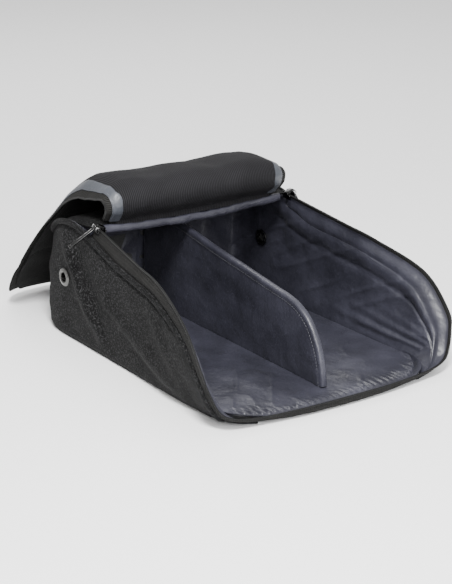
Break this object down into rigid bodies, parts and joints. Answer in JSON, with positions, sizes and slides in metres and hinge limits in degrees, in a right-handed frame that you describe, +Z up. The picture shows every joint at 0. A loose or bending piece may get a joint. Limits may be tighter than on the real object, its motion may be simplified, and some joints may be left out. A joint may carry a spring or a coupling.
{
  "type": "shoe bag",
  "caption": "Zip-round two-compartment shoe bag with a padded wedge tray, toe hood, centre divider, fold-back lid, zip sliders with pulls and vent grommets",
  "frame": {"origin": "centre of the underside of the tray, on the ground", "axes": "+Z up, +Y towards the toe end where the lid is hinged, +X to the right seen from the open heel end"},
  "size_m": [0.2886, 0.4539, 0.1636],
  "materials": {
    "outer_fabric": "heathered charcoal woven polyester",
    "lid_fabric": "black woven polyester",
    "lining": "slate grey satin taffeta",
    "satin_binding": "grey satin tape",
    "mesh": "black ribbed mesh",
    "zip_tape": "black cross-ribbed zip tape",
    "zip_coil": "black nylon coil",
    "metal": "gunmetal plate",
    "webbing": "black webbing",
    "foam": "soft foam",
    "board": "stiff plastic board"
  },
  "bodies": {
    "tray": {"base_panel": "outer_fabric", "base_board": "board", "floor_lining": "lining", "front_lip_lining": "lining", "left_wall_fabric": "outer_fabric", "left_wall_foam": "foam", "left_wall_lining": "lining", "right_wall_fabric": "outer_fabric", "right_wall_foam": "foam", "right_wall_lining": "lining", "toe_end_fabric": "outer_fabric", "toe_end_foam": "foam", "toe_end_lining": "lining", "hood_fabric": "outer_fabric", "hood_foam": "foam", "hood_lining": "lining", "divider_board": "board", "divider_covers": "lining", "divider_binding": "satin_binding", "left_piping": "outer_fabric", "right_piping": "outer_fabric", "toe_end_piping": "outer_fabric", "tray_zip_tape": "zip_tape", "tray_zip_coil": "zip_coil", "zip_start_stops": "metal", "grommet_faces": "metal", "grommet_washers": "metal", "hinge_binding": "satin_binding", "corner_bindings": "satin_binding", "handle_patches": "outer_fabric"},
    "left_slider": {"left_slider": "metal"},
    "right_slider": {"right_slider": "metal"},
    "left_pull": {"left_pull": "metal"},
    "right_pull": {"right_pull": "metal"},
    "handle": {"carry_handle": "webbing"},
    "lid_1": {"lid_fabric_1": "lid_fabric", "lid_mesh_1": "mesh", "lid_border_1": "satin_binding", "lid_zip_1": "zip_tape"},
    "lid_2": {"lid_fabric_2": "lid_fabric", "lid_mesh_2": "mesh", "lid_border_2": "satin_binding", "lid_zip_2": "zip_tape"},
    "lid_3": {"lid_fabric_3": "lid_fabric", "lid_mesh_3": "mesh", "lid_border_3": "satin_binding", "lid_zip_3": "zip_tape"},
    "lid_4": {"lid_fabric_4": "lid_fabric", "lid_mesh_4": "mesh", "lid_border_4": "satin_binding", "lid_zip_4": "zip_tape"},
    "lid_5": {"lid_fabric_5": "lid_fabric", "lid_mesh_5": "mesh", "lid_border_5": "satin_binding", "lid_zip_5": "zip_tape"},
    "lid_6": {"lid_fabric_6": "lid_fabric", "lid_mesh_6": "mesh", "lid_border_6": "satin_binding", "lid_zip_6": "zip_tape"}
  },
  "joints": [
    {"name": "left_slider_travel", "type": "slide", "parent": "tray", "child": "left_slider", "axis": [-0.0984, -0.9839, -0.1494], "range_m": [0, 0.1]},
    {"name": "right_slider_travel", "type": "slide", "parent": "tray", "child": "right_slider", "axis": [0.0984, -0.9839, -0.1494], "range_m": [0, 0.1]},
    {"name": "left_pull_hinge", "type": "hinge", "parent": "left_slider", "child": "left_pull", "pos_m": [-0.11824, 0.05912, 0.12826], "axis": [0.0984, 0.9839, 0.1494], "range_deg": [-18, 110]},
    {"name": "right_pull_hinge", "type": "hinge", "parent": "right_slider", "child": "right_pull", "pos_m": [0.11824, 0.05912, 0.12826], "axis": [0.0984, -0.9839, -0.1494], "range_deg": [0, 135]},
    {"name": "handle_hinge", "type": "hinge", "parent": "tray", "child": "handle", "pos_m": [0, 0.179, 0.062], "axis": [1, 0, 0], "range_deg": [0, 55]},
    {"name": "lid_hinge", "type": "hinge", "parent": "tray", "child": "lid_1", "pos_m": [0, 0.067, 0.131], "axis": [1, 0, 0], "range_deg": [0, 62.1]},
    {"name": "lid_fold_2", "type": "hinge", "parent": "lid_1", "child": "lid_2", "pos_m": [0, 0.05135, 0.15176], "axis": [1, 0, 0], "range_deg": [0, 105.05]},
    {"name": "lid_fold_3", "type": "hinge", "parent": "lid_2", "child": "lid_3", "pos_m": [0, 0.07546, 0.1615], "axis": [1, 0, 0], "range_deg": [0, 27.05]},
    {"name": "lid_fold_4", "type": "hinge", "parent": "lid_3", "child": "lid_4", "pos_m": [0, 0.12427, 0.15723], "axis": [1, 0, 0], "range_deg": [0, 45.45]},
    {"name": "lid_fold_5", "type": "hinge", "parent": "lid_4", "child": "lid_5", "pos_m": [0, 0.16495, 0.11044], "axis": [1, 0, 0], "range_deg": [0, 14.85]},
    {"name": "lid_fold_6", "type": "hinge", "parent": "lid_5", "child": "lid_6", "pos_m": [0, 0.20262, 0.06045], "axis": [1, 0, 0], "range_deg": [0, 27.35]}
  ],
  "couplings": [
    {"joint": "lid_fold_2", "follows": "lid_hinge", "ratio": 1.6908},
    {"joint": "lid_fold_3", "follows": "lid_hinge", "ratio": 0.43478},
    {"joint": "lid_fold_4", "follows": "lid_hinge", "ratio": 0.73108},
    {"joint": "lid_fold_5", "follows": "lid_hinge", "ratio": 0.23833},
    {"joint": "lid_fold_6", "follows": "lid_hinge", "ratio": 0.43961}
  ]
}
